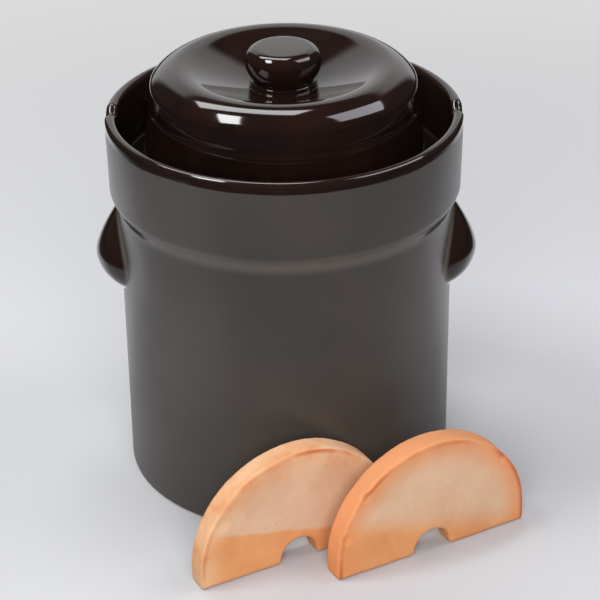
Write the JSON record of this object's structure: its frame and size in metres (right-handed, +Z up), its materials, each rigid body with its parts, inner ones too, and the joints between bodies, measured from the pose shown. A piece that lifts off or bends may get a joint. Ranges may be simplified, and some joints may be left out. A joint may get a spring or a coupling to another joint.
{
  "type": "fermentation crock",
  "caption": "Straight-sided glazed stoneware crock with lug handles, a water gutter round its mouth, a dished lid with a knob, and half-moon clay weight stones.",
  "frame": {"origin": "middle of the flat base, on the axis of the pot", "axes": "+Z up along the pot's axis, X through the handles, -Y towards the weight stones and the viewer"},
  "size_m": [0.3197, 0.3305, 0.3409],
  "materials": {
    "satin_glaze": "satin",
    "gloss_glaze": "gloss",
    "fired_clay": "matte"
  },
  "bodies": {
    "crock": {"crock_body": "satin_glaze", "gutter_collar": "satin_glaze", "left_handle": "gloss_glaze", "right_handle": "gloss_glaze"},
    "lid": {"lid": "gloss_glaze", "lid_knob": "gloss_glaze"},
    "left_stone": {"left_weight_stone": "fired_clay"},
    "right_stone": {"right_weight_stone": "fired_clay"}
  },
  "joints": [
    {"name": "lid_lift", "type": "slide", "parent": "crock", "child": "lid", "axis": [0, 0, 1], "range_m": [0, 0.12]},
    {"name": "left_stone_lift", "type": "slide", "parent": "crock", "child": "left_stone", "axis": [0.0333, -0.0613, 0.9976], "range_m": [0, 0.2]},
    {"name": "right_stone_lift", "type": "slide", "parent": "crock", "child": "right_stone", "axis": [0, 0, 1], "range_m": [0, 0.2]}
  ]
}
